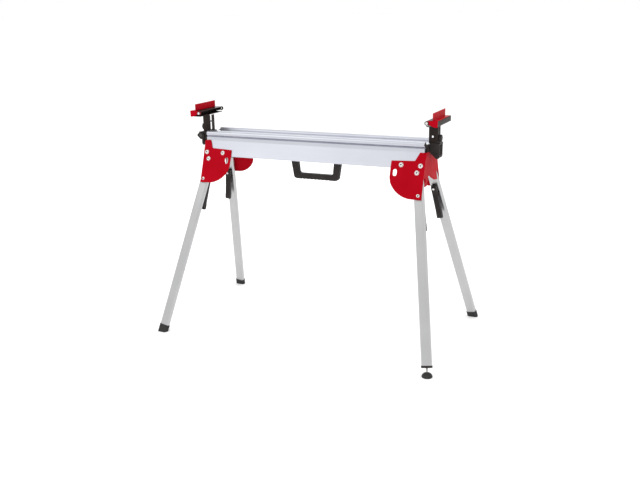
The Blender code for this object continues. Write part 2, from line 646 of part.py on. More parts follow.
main_beam()
carry_handle()
for end, sx in ENDS:
    beam_bracket(end, sx)
    leg_yoke(end, sx)
    end_cap(end, sx)
    arm_lock_knob(end, sx)
    extension_arm(end, sx)
    support_carrier(end, sx)
    support_post(end, sx)
    support_slide(end, sx)
    height_knob(end, sx)
    support_bar(end, sx)
    flip_stop(end, sx)
    stop_bolt(end, sx)
    for side, sy in SIDES:
        bracket_bolts(end, side, sx, sy)
        leg_pivot_bolt(end, side, sx, sy)
        leg(end, side, sx, sy)
        latch_mount(end, side, sx, sy)
        latch_lever(end, side, sx, sy)
        lock_pin(end, side, sx, sy)
        if (sx, sy) != (1, -1):
            foot_cap(end, side, sx, sy)
screw_foot_plug()
screw_foot_stem()
screw_foot_pad()
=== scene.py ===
"""Looks of the folding mitre saw stand: finished meshes, materials, floor, light and camera.

Metres, +Z up, X along the beam, -Y the front. Places come from the frame's boxes and joints.
Corner pieces are drawn in the plane of a wing or along a leg, and end pieces for the right end.
"""

import json
import math

import bmesh
import bpy
from mathutils import Matrix, Vector
from mathutils.geometry import tessellate_polygon


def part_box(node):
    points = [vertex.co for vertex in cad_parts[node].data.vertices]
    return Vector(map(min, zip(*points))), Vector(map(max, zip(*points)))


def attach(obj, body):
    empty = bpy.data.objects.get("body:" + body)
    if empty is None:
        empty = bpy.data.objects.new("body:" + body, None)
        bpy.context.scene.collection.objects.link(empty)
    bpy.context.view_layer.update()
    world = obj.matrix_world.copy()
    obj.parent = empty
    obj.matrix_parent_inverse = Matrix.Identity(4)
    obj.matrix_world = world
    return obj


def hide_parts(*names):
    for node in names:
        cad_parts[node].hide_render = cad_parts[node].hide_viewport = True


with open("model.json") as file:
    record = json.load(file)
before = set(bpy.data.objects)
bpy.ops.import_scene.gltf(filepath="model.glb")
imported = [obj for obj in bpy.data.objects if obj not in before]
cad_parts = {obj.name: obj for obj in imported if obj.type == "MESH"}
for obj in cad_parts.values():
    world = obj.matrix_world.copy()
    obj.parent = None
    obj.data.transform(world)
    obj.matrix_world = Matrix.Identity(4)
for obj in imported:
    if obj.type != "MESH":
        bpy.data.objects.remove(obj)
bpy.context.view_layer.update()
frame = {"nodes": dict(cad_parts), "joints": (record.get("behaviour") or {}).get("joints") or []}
NODES = frame["nodes"]
JOINTS = {joint["name"]: joint for joint in frame["joints"]}
ENDS = (("left", -1), ("right", 1))
SIDES = (("front", -1), ("back", 1))

SHEET = 0.003                       # thickness of the bent sheet parts
GAP = 0.0003                        # between pieces that touch
MERGE = 1e-6                        # points closer than this become one
CREASE = 32                         # degrees between faces that keep their edge after a cut,
TURNED_CREASE = 35                  # on a turned piece,
EXTRUDED_CREASE = 30                # and on an extrusion

LEAN = math.radians(9.7)            # of a leg outward, in the plane of its wing
LEG_DEPTH = 0.0208                  # from a wing's outer face to the middle of the leg
LEG_WIDE = 0.046
LEG_THICK = 0.024
LEG_WALL = 0.0022
BOOT_UP = 0.016                     # end of a leg's tube, up the leg from the floor
SCREW_FOOT_UP = 0.050               # end of the tube over the screw foot
SCREW_FOOT_LEG = ("right", "front")

PIN_DOWN = 0.100                    # lock pin, down the leg from the pivot
PIN_COLLAR = -0.0353                # where the pin's collar bears on the lever
PIN_HOLE = 0.0044
PIVOT_HOLE = 0.0043
LEVER_REST = 0.162                  # resting tilt of the latch lever
LEVER_HALF = 0.012                  # half the width of a lever
RIBS = 12
RIB_PITCH = 0.0078

WING_OUT = 0.0317                   # outer edge of a wing, outward from the leg pivot
WING_TOP = 0.0890                   # top of its bend, along the slope from the leg pivot
WING_BOTTOM = -0.117                # its bottom edge
BEND_R = 0.004                      # outer radius of the brackets' bends
BEND_STEPS = 6
BOLT_UP = 0.0310                    # bracket bolts, up the slope from the leg pivot
BOLT_OUT = {"outer": 0.0131, "inner": -0.0749}    # and outward along the beam
BOLT_HOLE = 0.0033

RAIL_Y = 0.062                      # middle of a round rail
RAIL_R = 0.0125
ARM_LOCK_Z = 0.921
STOP_X = 0.567                      # pivot of the flip stop
STOP_Z = 1.0325
STOP_BORE = 0.0033
FLOOR_Z = -0.0005                   # just under the feet

LENS = 45.437                       # millimetres, on a sensor 36 wide
CAMERA_AT = (1.59615, -3.37981, 1.53393)
AZIMUTH = math.radians(25.149)      # of the camera, from the front towards the right
PITCH = math.radians(16.440)
ROLL = math.radians(-1.224)

ALONG_X = Matrix(((0, 0, 1, 0), (1, 0, 0, 0), (0, 1, 0, 0), (0, 0, 0, 1)))   # (y, z) drawn, x swept
ALONG_Y = Matrix(((1, 0, 0, 0), (0, 0, 1, 0), (0, 1, 0, 0), (0, 0, 0, 1)))   # (x, z) drawn, y swept
ALONG_Z = Matrix.Identity(4)


def high(node, axis):
    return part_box(node)[1][axis]


def low(node, axis):
    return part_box(node)[0][axis]


def middle(node, axis):
    return (low(node, axis) + high(node, axis)) / 2


# ---------------------------------------------------------------- places

def side_frame(end, side, inward=0.0):
    """At the leg's pivot on the wing's outer face: x outward along the beam, y up the slope, z out of it."""
    sx = dict(ENDS)[end]
    sy = dict(SIDES)[side]
    hinge = JOINTS[f"leg_fold_{side}_{end}"]
    out = Vector(hinge["axis"])
    if out.z < 0:
        out = -out
    up = Vector((0, -sy * out.z, abs(out.y)))
    start = Vector(hinge["pos_m"]) + out * (LEG_DEPTH - inward)
    return Matrix((
        (sx, 0, 0, start.x),
        (0, up.y, out.y, start.y),
        (0, up.z, out.z, start.z),
        (0, 0, 0, 1),
    ))


def leg_frame(end, side):
    """Right-handed, at the leg's pivot in the middle of its thickness: y up the leg, z out of the slope."""
    slope = side_frame(end, side, LEG_DEPTH)
    place = slope @ Matrix.Rotation(LEAN, 4, "Z")
    return place @ Matrix.Diagonal((-1 if place.determinant() < 0 else 1, 1, 1, 1))


def lever_frame(end, side):
    """Right-handed, on the lever's axis: y up along the resting lever, z towards the leg."""
    place = leg_frame(end, side)
    axis = place.inverted() @ Vector(JOINTS[f"latch_squeeze_{side}_{end}"]["pos_m"])
    return place @ Matrix.Translation(axis) @ Matrix.Rotation(LEVER_REST, 4, "X")


def mirrored(sx, sy=1):
    return Matrix.Diagonal((sx, sy, 1, 1))


# ---------------------------------------------------------------- outlines

def arc(x, y, radius, start, end, steps):
    turn = [math.radians(start + (end - start) * i / steps) for i in range(steps + 1)]
    return [(x + radius * math.cos(t), y + radius * math.sin(t)) for t in turn]


def circle(x, y, radius, steps=24):
    return arc(x, y, radius, 0, 360, steps)[:-1]


def slot(x, y, radius, half):
    return arc(x, y + half, radius, 0, 180, 10) + arc(x, y - half, radius, 180, 360, 10)


def box(x0, x1, y0, y1):
    return [(x0, y0), (x1, y0), (x1, y1), (x0, y1)]


def chamfered(wide, thick, c):
    return [(c - wide, -thick), (wide - c, -thick), (wide, c - thick), (wide, thick - c),
            (wide - c, thick), (c - wide, thick), (-wide, thick - c), (-wide, c - thick)]


def flipped(points):
    """The same stretch of outline on the other side, run backwards."""
    return [(-x, y) for x, y in reversed(points)]


def rounded(points, radius, steps=3):
    """The outline with every corner turned into a small arc."""
    made = []
    for i, corner in enumerate(points):
        p = Vector(corner)
        before = Vector(points[i - 1]) - p
        after = Vector(points[(i + 1) % len(points)]) - p
        reach = min(radius, before.length * 0.45, after.length * 0.45)
        a = p + before.normalized() * reach
        b = p + after.normalized() * reach
        for k in range(steps + 1):
            t = k / steps
            made.append(tuple(a * (1 - t) ** 2 + p * 2 * t * (1 - t) + b * t ** 2))
    return made


def rounded_between(points, radius):
    """Only the arcs, at every corner but the first and the last."""
    steps = 3
    return rounded(points, radius, steps)[steps + 1:-steps - 1]


# ---------------------------------------------------------------- meshes

def place_mesh(name, bm, place, material):
    """New object from bm, moved to its place, with its faces pointing out."""
    bmesh.ops.remove_doubles(bm, verts=bm.verts, dist=MERGE)
    bmesh.ops.transform(bm, matrix=place, verts=bm.verts)
    bmesh.ops.recalc_face_normals(bm, faces=bm.faces)
    mesh = bpy.data.meshes.new(name)
    bm.to_mesh(mesh)
    bm.free()
    mesh.materials.append(material)
    mesh.shade_smooth()
    made = bpy.data.objects.new(name, mesh)
    bpy.context.scene.collection.objects.link(made)
    return made


def prism(name, loops, bottom, top, place, material):
    """The first outline, less the others as holes, swept along z from bottom to top."""
    bm = bmesh.new()
    points = [p for loop in loops for p in loop]
    floor = [bm.verts.new((x, y, bottom)) for x, y in points]
    roof = [bm.verts.new((x, y, top)) for x, y in points]
    if len(loops) == 1:
        bm.faces.new(floor)
        bm.faces.new(roof)
    else:
        for tri in tessellate_polygon([[Vector((x, y, 0)) for x, y in loop] for loop in loops]):
            bm.faces.new([floor[i] for i in tri])
            bm.faces.new([roof[i] for i in tri])
    start = 0
    for loop in loops:
        size = len(loop)
        for i in range(size):
            a = start + i
            b = start + (i + 1) % size
            bm.faces.new((floor[a], floor[b], roof[b], roof[a]))
        start += size
    return place_mesh(name, bm, place, material)


def hexagon(radius, turn):
    """Distance to the side of a hexagon in the direction turn, radius being half its width over flats."""
    return radius / math.cos((turn + math.pi / 6) % (math.pi / 3) - math.pi / 6)


def turned(name, profile, place, material, steps=32):
    """Round solid about z from (radius, height) points, ends on the axis. A third value 6 makes a hexagon."""
    bm = bmesh.new()
    foot = bm.verts.new((0, 0, profile[0][1]))
    head = bm.verts.new((0, 0, profile[-1][1]))
    rings = []
    for radius, height, *sides in profile[1:-1]:
        level = []
        for i in range(steps):
            t = 2 * math.pi * i / steps
            r = hexagon(radius, t) if sides else radius
            level.append(bm.verts.new((r * math.cos(t), r * math.sin(t), height)))
        rings.append(level)
    for i in range(steps):
        j = (i + 1) % steps
        bm.faces.new((foot, rings[0][j], rings[0][i]))
        bm.faces.new((head, rings[-1][i], rings[-1][j]))
        for under, over in zip(rings, rings[1:]):
            bm.faces.new((under[i], under[j], over[j], over[i]))
    made = place_mesh(name, bm, place, material)
    made.data.set_sharp_from_angle(angle=math.radians(TURNED_CREASE))
    return made


def ring(name, profile, place, material, steps=32):
    """Washer or bush about z: a closed outline of (radius, height) points swept round."""
    bm = bmesh.new()
    loops = []
    for x, y in circle(0, 0, 1, steps):
        loops.append([bm.verts.new((r * x, r * y, height)) for r, height in profile])
    for here, there in zip(loops, loops[1:] + loops[:1]):
        for k in range(len(profile)):
            m = (k + 1) % len(profile)
            bm.faces.new((here[k], here[m], there[m], there[k]))
    made = place_mesh(name, bm, place, material)
    made.data.set_sharp_from_angle(angle=math.radians(TURNED_CREASE))
    return made


def loft(name, sections, place, material):
    """Closed solid through outlines of equal length, each with its height."""
    bm = bmesh.new()
    rings = [[bm.verts.new((x, y, z)) for x, y in loop] for loop, z in sections]
    bm.faces.new(rings[0])
    bm.faces.new(rings[-1])
    for under, over in zip(rings, rings[1:]):
        for i in range(len(under)):
            j = (i + 1) % len(under)
            bm.faces.new((under[i], under[j], over[j], over[i]))
    return place_mesh(name, bm, place, material)


def paint_socket_shade(bolt, place, radius, floor):
    """The tool socket of a bolt, above the height floor, gets the black paint as painted shade, standing in
    for the shade down in its recess.
    """
    bolt.data.materials.append(BLACK_PAINT_AND_SOCKET_SHADE)
    to_bolt = place.inverted()
    for face in bolt.data.polygons:
        centre = to_bolt @ face.center
        if math.hypot(centre.x, centre.y) < radius and centre.z > floor:
            face.material_index = 1


def soften(piece, width=0.0006, segments=2, angle=32):
    """Rounds the sharp edges."""
    step = piece.modifiers.new("rounded edges", "BEVEL")
    step.width = width
    step.segments = segments
    step.limit_method = "ANGLE"
    step.angle_limit = math.radians(angle)
    step.harden_normals = True
    return piece


def cut(piece, cutters, operation="DIFFERENCE"):
    """Cuts the pieces away, joins them on or keeps what they share, and deletes them."""
    for cutter in cutters:
        step = piece.modifiers.new("solid", "BOOLEAN")
        step.operation = operation
        step.solver = "EXACT"
        step.object = cutter
    seen = bpy.context.evaluated_depsgraph_get()
    mesh = bpy.data.meshes.new_from_object(piece.evaluated_get(seen))
    piece.modifiers.clear()
    piece.data = mesh
    for cutter in cutters:
        bpy.data.objects.remove(cutter, do_unlink=True)
    mesh.shade_smooth()
    mesh.set_sharp_from_angle(angle=math.radians(CREASE))
    return piece


def stands_for(piece, body, material_slot, *nodes):
    """The piece rides on body and shows instead of the CAD nodes."""
    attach(piece, body)
    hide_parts(*nodes)
    return piece


# ---------------------------------------------------------------- materials

def new_material(name, colour, metallic, roughness):
    """A Principled material, its node tree and its shader."""
    made = bpy.data.materials.new(name)
    made.use_nodes = True
    shader = made.node_tree.nodes["Principled BSDF"]
    shader.inputs["Base Color"].default_value = (*colour, 1)
    shader.inputs["Metallic"].default_value = metallic
    shader.inputs["Roughness"].default_value = roughness
    return made, made.node_tree, shader


def noise(tree, scale, detail=3.0, stretch=(1, 1, 1)):
    """Noise over the object's own coordinates, about half everywhere."""
    coords = tree.nodes.new("ShaderNodeTexCoord")
    mapping = tree.nodes.new("ShaderNodeMapping")
    mapping.inputs["Scale"].default_value = stretch
    texture = tree.nodes.new("ShaderNodeTexNoise")
    texture.inputs["Scale"].default_value = scale
    texture.inputs["Detail"].default_value = detail
    tree.links.new(coords.outputs["Object"], mapping.inputs["Vector"])
    tree.links.new(mapping.outputs["Vector"], texture.inputs["Vector"])
    return texture.outputs["Fac"]


def spread(tree, value, socket, lowest, highest):
    """The shader value runs from lowest to highest over the middle of the noise."""
    ranged = tree.nodes.new("ShaderNodeMapRange")
    ranged.inputs["From Min"].default_value = 0.3
    ranged.inputs["From Max"].default_value = 0.7
    ranged.inputs["To Min"].default_value = lowest
    ranged.inputs["To Max"].default_value = highest
    tree.links.new(value, ranged.inputs["Value"])
    tree.links.new(ranged.outputs["Result"], socket)


def tint(tree, value, shader, dark, light):
    """The base colour varies between dark and light."""
    mix = tree.nodes.new("ShaderNodeValToRGB")
    mix.color_ramp.elements[0].position = 0.3
    mix.color_ramp.elements[0].color = (*dark, 1)
    mix.color_ramp.elements[1].position = 0.7
    mix.color_ramp.elements[1].color = (*light, 1)
    tree.links.new(value, mix.inputs["Fac"])
    tree.links.new(mix.outputs["Color"], shader.inputs["Base Color"])


def bump(tree, value, shader, strength, distance):
    relief = tree.nodes.new("ShaderNodeBump")
    relief.inputs["Strength"].default_value = strength
    relief.inputs["Distance"].default_value = distance
    tree.links.new(value, relief.inputs["Height"])
    tree.links.new(relief.outputs["Normal"], shader.inputs["Normal"])


def extruded_aluminium(name, stretch, dark, light):
    """Satin anodised metal with fine die lines along the extrusion."""
    made, tree, shader = new_material(name, light, 1.0, 0.38)
    lines = noise(tree, 60, 4, stretch)
    tint(tree, noise(tree, 5, 4), shader, dark, light)
    spread(tree, lines, shader.inputs["Roughness"], 0.32, 0.44)
    bump(tree, lines, shader, 0.10, 0.0002)
    return made


def powder_coat():
    made, tree, shader = new_material("red powder coat", (0.42, 0.002, 0.010), 0.0, 0.40)
    shader.inputs["Specular IOR Level"].default_value = 0.02
    tint(tree, noise(tree, 9, 4), shader, (0.39, 0.0015, 0.008), (0.44, 0.0025, 0.012))
    spread(tree, noise(tree, 40, 3), shader.inputs["Roughness"], 0.34, 0.46)
    bump(tree, noise(tree, 650, 2), shader, 0.18, 0.0002)
    return made


def moulded_plastic(name, dark, light):
    made, tree, shader = new_material(name, light, 0.0, 0.50)
    shader.inputs["Specular IOR Level"].default_value = 0.12
    tint(tree, noise(tree, 30, 4), shader, dark, light)
    spread(tree, noise(tree, 120, 3), shader.inputs["Roughness"], 0.42, 0.58)
    bump(tree, noise(tree, 1400, 3), shader, 0.35, 0.0002)
    return made


def black_paint():
    made, tree, shader = new_material("black painted steel", (0.018, 0.0145, 0.0135), 0.0, 0.42)
    shader.inputs["Specular IOR Level"].default_value = 0.08
    tint(tree, noise(tree, 18, 4), shader, (0.021, 0.0150, 0.0138), (0.035, 0.0255, 0.0240))
    spread(tree, noise(tree, 60, 3), shader.inputs["Roughness"], 0.36, 0.50)
    bump(tree, noise(tree, 800, 2), shader, 0.15, 0.0002)
    return made


def zinc_plate():
    made, tree, shader = new_material("zinc plated steel", (0.78, 0.78, 0.77), 1.0, 0.24)
    tint(tree, noise(tree, 160, 4), shader, (0.68, 0.68, 0.67), (0.84, 0.84, 0.83))
    spread(tree, noise(tree, 260, 3), shader.inputs["Roughness"], 0.18, 0.32)
    bump(tree, noise(tree, 900, 2), shader, 0.08, 0.0001)
    return made


def matt_rubber():
    made, tree, shader = new_material("rubber", (0.020, 0.020, 0.020), 0.0, 0.8)
    tint(tree, noise(tree, 60, 4), shader, (0.015, 0.015, 0.015), (0.028, 0.027, 0.026))
    spread(tree, noise(tree, 200, 3), shader.inputs["Roughness"], 0.70, 0.88)
    bump(tree, noise(tree, 1100, 3), shader, 0.4, 0.0003)
    return made


BEAM_METAL = extruded_aluminium("aluminium along the beam", (0.02, 6, 6),
                                (0.54, 0.555, 0.61), (0.58, 0.59, 0.64))
LEG_METAL = extruded_aluminium("aluminium along a leg", (6, 0.02, 6),
                               (0.475, 0.475, 0.48), (0.515, 0.515, 0.52))
RED = powder_coat()
BLACK = moulded_plastic("moulded black plastic", (0.023, 0.0195, 0.0190), (0.038, 0.0325, 0.0320))
GREY = moulded_plastic("moulded grey plastic", (0.060, 0.057, 0.055), (0.080, 0.076, 0.074))
# Black painted steel for posts, bars, yokes and mounts; in the bolts' sockets it is painted shade.
BLACK_PAINT_AND_SOCKET_SHADE = black_paint()
ZINC = zinc_plate()
RUBBER = matt_rubber()


# ---------------------------------------------------------------- beam

def skirt_y(z, depth):
    """Half-width at height z of the plane that lies depth inside the wings' outer faces."""
    slope = side_frame("right", "back")
    across = slope.col[1].to_3d()
    start = slope.translation
    return start.y + across.y / across.z * (z - start.z) - depth / across.z


def build_beam():
    """Extrusion: sloped skirts, a shoulder, a round rail on each side, and the arms' channel between."""
    bottom = low("main_beam", 2)
    reach = high("main_beam", 0)
    rail_z = high("main_beam", 2) - RAIL_R
    outer = SHEET + GAP
    shoulder = skirt_y(0.9015, outer)
    side = [(skirt_y(bottom, outer) - 0.0002, bottom), (skirt_y(bottom + 0.004, outer), bottom + 0.004),
            (shoulder, 0.9015), (shoulder, 0.9172), (0.0650, 0.9180), (0.0650, 0.9200)]
    side = side[:1] + rounded_between(side, 0.0009) + arc(RAIL_Y, rail_z, RAIL_R, -70, 184, 28)
    groove = [(0.0480, 0.9310), (0.0470, 0.9300), (0.0455, 0.9300), (0.0445, 0.9310)]
    top = side + groove
    roof = high("leg_yoke_right", 2) + GAP
    inner = SHEET * 2 + GAP
    lip = 0.0012
    under = [(skirt_y(roof, inner), roof), (skirt_y(bottom + 0.006, inner), bottom + 0.006),
             (skirt_y(bottom + 0.004, inner) - lip, bottom + 0.004), (skirt_y(bottom, inner) - lip, bottom)]
    section = top + flipped(top) + flipped(under) + under
    cell = rounded([(0.0465, 0.898), (0.0705, 0.898), (0.0705, 0.9145), (0.0645, 0.9145),
                    (0.060, 0.9175), (0.0465, 0.9175)], 0.0008)
    channel = rounded(box(-0.0435, 0.0435, 0.898, 0.928), 0.001)
    holes = [channel, cell, [(-y, z) for y, z in cell]]
    holes += [circle(sy * RAIL_Y, rail_z, 0.009) for sy in (-1, 1)]
    beam = prism("beam_extrusion", [section] + holes, -reach, reach, ALONG_X, BEAM_METAL)
    beam.data.set_sharp_from_angle(angle=math.radians(EXTRUDED_CREASE))
    stands_for(beam, "stand", "aluminium", "main_beam")


# ---------------------------------------------------------------- brackets

def wing_outline(end):
    """Corners of a wing from the bend's top round to its bottom, x outward and y up from the leg pivot."""
    if end == "right":
        inner_corner = rounded_between([(0.0031, 0.0868), (-0.0144, 0.0516), (-0.030, 0.0510)], 0.004)
        tongue = [(0.0046, WING_TOP), (0.0026, 0.0862)] + inner_corner
    else:
        tongue = arc(0.0061, 0.0810, 0.0100, 90, 150, 5) + [(-0.0130, 0.0545), (-0.0154, 0.0518)]
    top = [(-0.1140, 0.0478), *arc(-0.1179, 0.0440, 0.0038, 80, 170, 4)]
    sweep = [(-0.1224, 0.0090), (-0.1222, -0.0260), (-0.1190, -0.0400)]
    curve = arc(-0.0080, 0.0045, 0.1215, 207, 262, 12)
    return tongue + top + sweep + curve


def add_wing(bm, end, side):
    """One wing and its bend. Returns the lowest and highest corner where the end panel starts."""
    place = side_frame(end, side)
    outer = [(WING_OUT - BEND_R, WING_BOTTOM), (WING_OUT - BEND_R, WING_TOP)] + wing_outline(end)
    loops = [outer, slot(-0.1001, -0.0044, 0.009, 0.0065), circle(0, 0, PIVOT_HOLE, 16)]
    loops.append(circle(PIN_DOWN * math.sin(LEAN), -PIN_DOWN * math.cos(LEAN), PIN_HOLE, 16))
    loops += [circle(x, BOLT_UP, BOLT_HOLE, 16) for x in BOLT_OUT.values()]
    corners = [bm.verts.new(place @ Vector((x, y, 0))) for loop in loops for x, y in loop]
    for tri in tessellate_polygon([[Vector((x, y, 0)) for x, y in loop] for loop in loops]):
        bm.faces.new([corners[i] for i in tri])
    lower, upper = corners[0], corners[1]
    for k in range(1, BEND_STEPS + 1):
        turn = math.radians(90 * k / BEND_STEPS)
        x = WING_OUT - BEND_R + BEND_R * math.sin(turn)
        depth = BEND_R - BEND_R * math.cos(turn)
        next_lower = bm.verts.new(place @ Vector((x, WING_BOTTOM + 0.0002 * k, -depth)))
        next_upper = bm.verts.new(place @ Vector((x, WING_TOP, -depth)))
        bm.faces.new((lower, upper, next_upper, next_lower))
        lower, upper = next_lower, next_upper
    return lower, upper


def build_bracket(end, sx):
    """Bent sheet: two wings and the end panel, drawn as one skin and thickened inward."""
    bm = bmesh.new()
    corners = {side: add_wing(bm, end, side) for side, _ in SIDES}
    add_panel(bm, corners, sx, high("beam_bracket_right", 0))
    bmesh.ops.recalc_face_normals(bm, faces=bm.faces)
    piece = place_mesh(f"bracket_{end}", bm, ALONG_Z, RED)
    inside = piece.modifiers.new("sheet", "SOLIDIFY")
    inside.thickness = SHEET
    inside.offset = -1
    soften(piece, 0.0004, 2, 40).modifiers["rounded edges"].harden_normals = False
    shading = piece.modifiers.new("flat faces stay flat", "WEIGHTED_NORMAL")
    shading.weight = 90
    shading.keep_sharp = True
    stands_for(piece, "stand", "red_paint", f"beam_bracket_{end}")


def add_panel(bm, corners, sx, panel_x):
    """End panel between the two bends: a tab beside each leg and a lip bent out along its lower edge."""
    lip = 0.0045
    tab_top = 0.7912
    tab_foot = 0.7535
    leg_room = 0.0345
    tab = [(skirt_y(tab_top, 0.0078), tab_top), (skirt_y(tab_top, leg_room), tab_top),
           (skirt_y(tab_foot, leg_room), tab_foot)]
    fold = [(0.0790, 0.7756), (0.0342, 0.7925), (-0.0240, 0.7925)]
    lower_edge = [(0.0400, 0.7605), (-0.0170, 0.7840)]
    notch = [(-0.0465, 0.7925), (-0.0480, 0.7790), (-0.0586, tab_foot)]

    def point(y, z, out=0.0):
        return bm.verts.new((sx * (panel_x + out), y, z))

    ends = {}
    for side, sy in SIDES:
        lower, upper = corners[side]
        foot = (abs(lower.co.y) - 0.0076, lower.co.z + 0.0002)
        ends[side] = [upper, lower, point(sy * foot[0], foot[1])] + [point(sy * y, z) for y, z in tab]
    bend = [point(y, z) for y, z in fold]
    rim = [point(y, z, lip) for y, z in lower_edge]
    cut_back = [point(y, z) for y, z in notch]
    bm.faces.new(ends["back"][:5] + bend + cut_back + list(reversed(ends["front"])))
    corner = ends["back"][5]
    bm.faces.new((ends["back"][4], corner, bend[0]))
    bm.faces.new((bend[0], corner, rim[0]))
    bm.faces.new((bend[0], rim[0], bend[1]))
    bm.faces.new((bend[1], rim[0], rim[1]))
    bm.faces.new((bend[1], rim[1], bend[2]))


# ---------------------------------------------------------------- fasteners

def button_bolt(name, place, shank, inner, body, node):
    """Flanged button head with a hexagon socket, its shank and what holds it inside."""
    head = [(0, 0.0010), (0.0032, 0.0010, 6), (0.0032, 0.0046, 6), (0.0043, 0.0050), (0.0062, 0.0046),
            (0.0080, 0.0036), (0.0088, 0.0024), (0.0092, 0.0014), (0.0102, 0.0012), (0.0105, 0.0009),
            (0.0105, GAP), (shank, GAP)]
    bolt = turned(name, head + inner, place, ZINC)
    # The socket's faces get the black paint as painted shade of the recess.
    paint_socket_shade(bolt, place, 0.0034, 0.0009)
    stands_for(bolt, body, "bright_steel", node)


def build_fasteners(end, side):
    """On one wing: two bracket bolts, the leg's pivot bolt and the rim round the lock pin's hole."""
    slope = side_frame(end, side)
    nut = [(0.0030, -0.0066), (0.0066, -0.0066), (0.0070, -0.0070), (0.0070, -0.0080), (0.0066, -0.0084),
           (0, -0.0084)]
    for where, x in BOLT_OUT.items():
        place = slope @ Matrix.Translation((x, BOLT_UP, 0))
        button_bolt(f"bolt_{side}_{end}_{where}", place, 0.0030, nut, "stand",
                    f"bracket_bolt_{side}_{end}_{where}")
    spacer_and_nut = [(0.0040, -0.0033), (0.0090, -0.0033), (0.0090, -0.0085), (0.0040, -0.0085),
                      (0.0040, -0.0366), (0.0070, -0.0366, 6), (0.0070, -0.0410, 6), (0.0040, -0.0410),
                      (0.0040, -0.0422), (0.0032, -0.0430), (0, -0.0430)]
    button_bolt(f"pivot_bolt_{side}_{end}", slope, 0.0040, spacer_and_nut, "stand",
                f"leg_pivot_bolt_{side}_{end}")
    hole = slope @ Matrix.Translation((PIN_DOWN * math.sin(LEAN), -PIN_DOWN * math.cos(LEAN), 0))
    rim = [(0.0043, 0.0010), (0.0047, 0.0013), (0.0070, 0.0010), (0.0074, 0.0006), (0.0074, GAP),
           (0.0042, GAP)]
    eyelet = ring(f"pin_eyelet_{side}_{end}", rim, hole, ZINC, 24)
    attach(eyelet, "stand")


# ---------------------------------------------------------------- legs

def leg_loop(grow, radius=0.0030):
    """The leg's outline across its length, grown by grow."""
    return rounded(chamfered(LEG_WIDE / 2 + grow, LEG_THICK / 2 + grow, 0.006 + grow * 0.6), radius, 4)


def floor_distance(end, side):
    """From the leg's pivot down its axis to the floor."""
    place = leg_frame(end, side)
    return place.translation.z / place.col[1].z


def build_leg(end, side):
    """Chamfered tube, round at its top about the pivot, drilled for the pivot and the lock pin."""
    place = leg_frame(end, side)
    foot_up = SCREW_FOOT_UP if (end, side) == SCREW_FOOT_LEG else BOOT_UP
    bottom = foot_up - floor_distance(end, side)
    body = f"leg_{side}_{end}"
    loops = [leg_loop(0), leg_loop(-LEG_WALL, 0.002)]
    tube = prism(f"leg_tube_{side}_{end}", loops, bottom, LEG_WIDE / 2 + 0.001, place @ ALONG_Y, LEG_METAL)
    crown = arc(0, 0, LEG_WIDE / 2 + 0.00005, 0, 180, 20)
    crown += [(-0.030, -0.001), (-0.030, -1), (0.030, -1), (0.030, -0.001)]
    keep = prism("keep", [crown], -0.020, 0.020, place, LEG_METAL)
    tube = cut(tube, [keep], "INTERSECT")
    drills = [prism("drill", [circle(0, y, r)], -0.020, 0.020, place, LEG_METAL)
              for y, r in ((0, PIVOT_HOLE), (-PIN_DOWN, PIN_HOLE))]
    tube = cut(tube, drills)
    # The die lines of its metal follow the object's own axes, so these lie along the leg.
    tube.data.transform(place.inverted())
    tube.matrix_world = place
    stands_for(tube, body, "aluminium", f"leg_{side}_{end}")


def build_foot(end, side):
    """Rubber boot with raised bands, cut flat where it stands on the floor."""
    place = leg_frame(end, side) @ ALONG_Y
    floor = -floor_distance(end, side)
    sections = [(leg_loop(0.0020), floor - 0.026), (leg_loop(0.0020), floor + 0.0060)]
    band = 0.0022
    groove = 0.0012
    for k in range(3):
        z = floor + 0.0090 + 0.0075 * k
        sections += [(leg_loop(band), z), (leg_loop(groove), z + 0.0010),
                     (leg_loop(groove), z + 0.0030), (leg_loop(band), z + 0.0040)]
    sections += [(leg_loop(band), floor + 0.0325), (leg_loop(0.0014), floor + 0.0340)]
    boot = loft(f"boot_{side}_{end}", sections, place, RUBBER)
    pocket = prism("pocket", [leg_loop(GAP)], floor + BOOT_UP - GAP, floor + 0.050, place, RUBBER)
    ground = prism("ground", [box(-0.9, 0.9, -0.6, 0.6)], -0.1, 0, ALONG_Z, RUBBER)
    stands_for(cut(boot, [pocket, ground]), f"leg_{side}_{end}", "rubber", f"foot_{side}_{end}")


